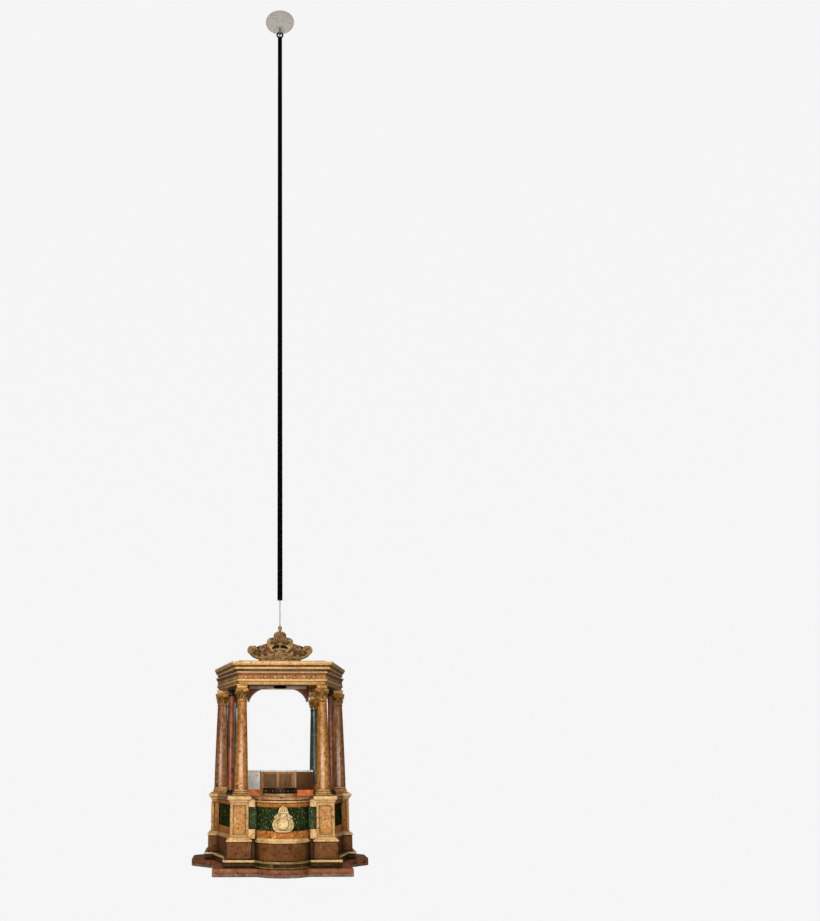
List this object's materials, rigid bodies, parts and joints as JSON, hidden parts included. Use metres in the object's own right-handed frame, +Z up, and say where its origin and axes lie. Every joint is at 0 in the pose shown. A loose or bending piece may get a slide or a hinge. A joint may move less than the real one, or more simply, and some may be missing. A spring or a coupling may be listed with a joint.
{
  "type": "sanctuary lamp",
  "caption": "Hanging sanctuary lamp: an oil lamp inside a small marble temple of columns, a bowed parapet and a carved crest, on a long rod.",
  "frame": {"origin": "centre of the ceiling plate's upper face", "axes": "+Z up; the lamp's bowed front faces -Y and its gate is at the back, towards +Y"},
  "size_m": [0.324, 0.399, 1.949],
  "materials": {
    "black_bronze": "satin",
    "black_paint": "satin",
    "brass": "satin",
    "carved_gilt": "satin",
    "cream_marble": "gloss",
    "dark_green_marble": "polished",
    "gilt_metal": "satin",
    "golden_marble": "polished",
    "green_marble": "polished",
    "maroon_marble": "gloss",
    "painted_roof": "matte",
    "pale_steel": "polished",
    "panel_wood": "satin",
    "red_marble": "polished",
    "ruby_glass": "polished",
    "step_marble": "gloss",
    "white_paint": "satin"
  },
  "bodies": {
    "ceiling_fitting": {"ceiling_plate": "white_paint"},
    "ring": {"hanging_ring": "pale_steel"},
    "rod": {"suspension_rod": "black_paint", "swivel_bush": "brass"},
    "temple": {"architrave": "cream_marble", "bell_hook": "brass", "bottom_step": "step_marble", "capital_front_left": "gilt_metal", "capital_front_right": "gilt_metal", "capital_rear_left": "gilt_metal", "capital_rear_right": "gilt_metal", "capital_side_front_left": "gilt_metal", "capital_side_front_right": "gilt_metal", "capital_side_rear_left": "gilt_metal", "capital_side_rear_right": "gilt_metal", "cartouche": "cream_marble", "ceiling_board": "panel_wood", "colonnette_front_left": "red_marble", "colonnette_front_right": "red_marble", "colonnette_rear_left": "red_marble", "colonnette_rear_right": "red_marble", "column_front_left": "golden_marble", "column_front_right": "golden_marble", "column_rear_left": "dark_green_marble", "column_rear_right": "dark_green_marble", "column_side_front_left": "golden_marble", "column_side_front_right": "golden_marble", "column_side_rear_left": "dark_green_marble", "column_side_rear_right": "dark_green_marble", "cornice": "cream_marble", "crest_palmette": "carved_gilt", "crest_plinth": "carved_gilt", "crest_scroll_left": "carved_gilt", "crest_scroll_right": "carved_gilt", "finial_stem": "gilt_metal", "frieze": "red_marble", "front_bow": "green_marble", "gate_pin": "brass", "lamp_bowl": "black_bronze", "pedestal_front_left": "cream_marble", "pedestal_front_right": "cream_marble", "pedestal_rear_left": "cream_marble", "pedestal_rear_right": "cream_marble", "pedestal_side_left": "cream_marble", "pedestal_side_right": "cream_marble", "rear_arch": "maroon_marble", "rear_screen": "panel_wood", "roof": "painted_roof", "second_step": "step_marble", "swivel_pin": "pale_steel", "wall_front_left": "green_marble", "wall_front_right": "green_marble", "wall_rear_left": "green_marble", "wall_rear_right": "green_marble"},
    "gate": {"rear_gate": "panel_wood", "gate_knob": "brass"},
    "latch": {"gate_latch": "brass"},
    "glass": {"glass_cup": "ruby_glass", "wick_holder": "brass"},
    "bell": {"smoke_bell": "black_bronze"}
  },
  "joints": [
    {"name": "ring_swing", "type": "hinge", "parent": "ceiling_fitting", "child": "ring", "pos_m": [0, 0, -0.024], "axis": [1, 0, 0], "range_deg": [-30, 30]},
    {"name": "rod_swing", "type": "hinge", "parent": "ring", "child": "rod", "pos_m": [0, 0, -0.0376], "axis": [0, 1, 0], "range_deg": [-30, 30]},
    {"name": "temple_swivel", "type": "hinge", "parent": "rod", "child": "temple", "pos_m": [0, 0, -1.454], "axis": [0, 0, 1], "continuous": true},
    {"name": "gate_hinge", "type": "hinge", "parent": "temple", "child": "gate", "pos_m": [-0.034, 0.1404, -1.8525], "axis": [0, 0, 1], "range_deg": [0, 100]},
    {"name": "latch_turn", "type": "hinge", "parent": "temple", "child": "latch", "pos_m": [0.04, 0.13735, -1.851], "axis": [0, 1, 0], "range_deg": [0, 90]},
    {"name": "glass_lift", "type": "slide", "parent": "temple", "child": "glass", "axis": [0, 0, 1], "range_m": [0, 0.15]},
    {"name": "bell_swing", "type": "hinge", "parent": "temple", "child": "bell", "pos_m": [0, 0, -1.6205], "axis": [1, 0, 0], "range_deg": [-15, 15]}
  ]
}
